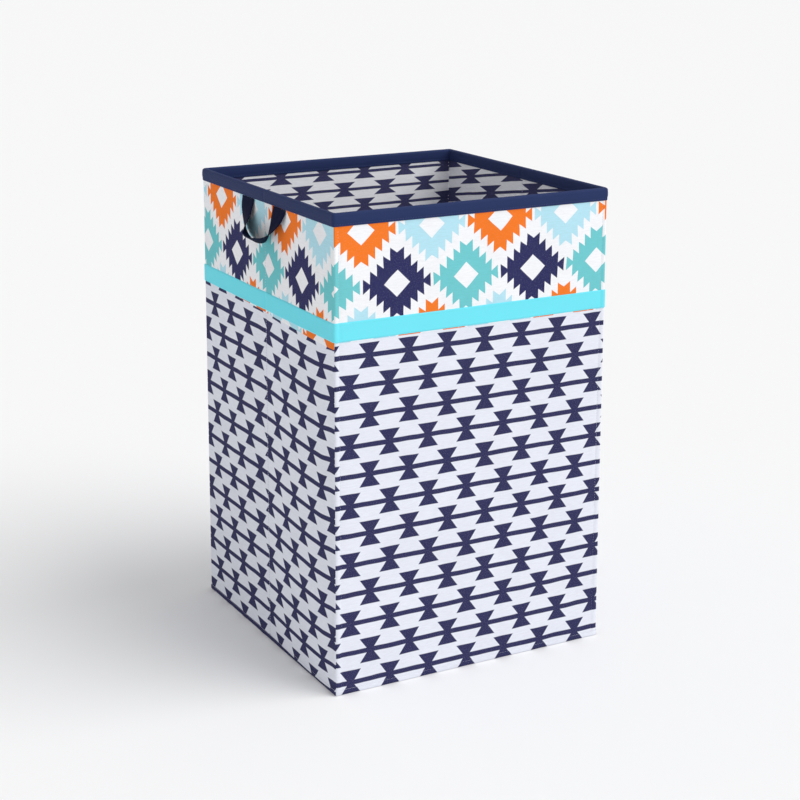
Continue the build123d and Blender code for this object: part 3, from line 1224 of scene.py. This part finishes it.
def strap_sections(wall):
    """Middle, width direction, face direction and thickness of the webbing along its route."""
    out = np.array((*WALLS[wall][0], 0.0))
    away = out * np.cos(STRAP_RISE) + np.array((0, 0, np.sin(STRAP_RISE)))
    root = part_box(f"handle_{wall}")[1].z
    route = strap_route()
    tangents = np.gradient(route, axis=0)
    sections = []
    for index, ((ahead, drop), (forward, down)) in enumerate(zip(route, tangents)):
        share = index / (STRAP_SECTIONS - 1)
        lean = STRAP_LEAN * np.sin(np.pi * share) ** 2
        width = np.array((0, -np.cos(lean), 0)) + away * np.sin(lean)
        tangent = np.array((0, -forward, -down))
        onward = tangent - width * tangent.dot(width)
        onward /= np.linalg.norm(onward)
        thick = thickness_at(share)
        lift = STRAP_LIFT * float(smooth(0, 0.1, share) * smooth(0, 0.1, 1 - share))
        edge = out * (HALF_WIDTH + BODY_GAP + thick / 2 + lift)
        edge = edge + np.array((0, CREASE_Y - ahead, root - drop))
        sections.append((edge + width * STRAP_WIDE / 2, width, np.cross(width, onward), thick))
    return sections


def thickness_at(share):
    """The webbing is pressed thin where it goes under the rim tape."""
    return STRAP_THICK - 0.7 * MM * float(1 - smooth(0, 0.06, share) * smooth(0, 0.06, 1 - share))


def strap_profile(thick):
    """The webbing's section: a flat band with rounded edges and three shallow ribs on each face."""
    places = np.linspace(-1, 1, 15)
    edge = np.sqrt(np.clip(1 - np.abs(places) ** 14, 0, 1))
    ribs = 1 + 0.10 * np.cos(places * 3 * np.pi)
    top = [(place * STRAP_WIDE / 2, thick / 2 * lift * rib) for place, lift, rib in zip(places, edge, ribs)]
    bottom = [(x, -y) for x, y in top[-2:0:-1]]
    return top + bottom


def build_handle(side):
    sections = []
    for middle, width, facing, thick in strap_sections(side):
        sections.append([middle + width * x + facing * y for x, y in strap_profile(thick)])
    sections = np.array(sections)
    rows, count = sections.shape[:2]
    faces = wrapped_faces(rows, count)
    faces.append(tuple(range(count))[::-1])
    faces.append(tuple(range((rows - 1) * count, rows * count)))
    piece = new_piece(f"handle_{side}_webbing", sections.reshape(-1, 3), faces, WEBBING)
    run = run_along(sections.mean(axis=1))
    layer = piece.data.uv_layers.new(name="weave")
    profile = strap_profile(STRAP_THICK)
    for loop in piece.data.loops:
        row, column = divmod(loop.vertex_index, count)
        layer.data[loop.index].uv = (run[row], profile[column][0])
    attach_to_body(piece, f"handle_{side}")
    flat = (STRAP_WIDE, float(run[-1]))
    stand_for(piece, f"handle_{side}", "webbing", flat, "hung", f"{side}_front_tape_folded")
    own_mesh(piece)


for side in ("left", "right"):
    build_handle(side)


# === CAD nodes that stay ===

for name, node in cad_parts.items():
    node.data.materials.clear()
    node.data.materials.append(BOARD if name.endswith("board") else PALE_THREAD)


# === Studio: floor, light and camera ===

ROOM_LIGHT = 0.6
ROOM_SEEN = 0.94
SUN_LIGHT = 1.75
SUN_WIDE = np.radians(50)
SUN_FROM = (0.50, -0.47, 0.727)


def build_floor():
    size = 40.0
    corners = [(-size, -size, 0), (size, -size, 0), (size, size, 0), (-size, size, 0)]
    paint = Cloth("studio_floor", 0.9, specular=0.1)
    set_inputs(paint.shader, Base_Color=(0.94, 0.94, 0.945, 1))
    new_piece("studio_floor", corners, [(0, 1, 2, 3)], paint.material)


def build_light():
    """One broad sun from the right front and an even white room, brighter to the eye than it lights."""
    world = bpy.data.worlds.new("studio")
    bpy.context.scene.world = world
    world.use_nodes = True
    nodes, links = world.node_tree.nodes, world.node_tree.links
    seen = nodes.new("ShaderNodeMath")
    seen.operation = "MULTIPLY_ADD"
    links.new(nodes.new("ShaderNodeLightPath").outputs["Is Camera Ray"], seen.inputs[0])
    seen.inputs[1].default_value = ROOM_SEEN - ROOM_LIGHT
    seen.inputs[2].default_value = ROOM_LIGHT
    links.new(seen.outputs[0], nodes["Background"].inputs["Strength"])
    nodes["Background"].inputs["Color"].default_value = (1, 1, 1, 1)
    data = bpy.data.lights.new("key_light", "SUN")
    data.energy = SUN_LIGHT
    data.angle = SUN_WIDE
    sun = new_object("key_light", data)
    sun.rotation_euler = Vector(SUN_FROM).to_track_quat("Z", "Y").to_euler()


def build_camera():
    data = bpy.data.cameras.new("camera")
    camera = new_object("camera", data)
    camera.location = (-1.0003, -1.8182, 0.8904)
    camera.rotation_euler = (np.radians(90 - 14.402), 0, np.radians(-28.378))
    data.lens = 78.48
    data.sensor_width = 36
    data.shift_x = 0.01875
    data.shift_y = -0.075
    data.clip_end = 100
    bpy.context.scene.camera = camera


build_floor()
build_light()
build_camera()
bpy.context.scene.view_settings.view_transform = "Standard"
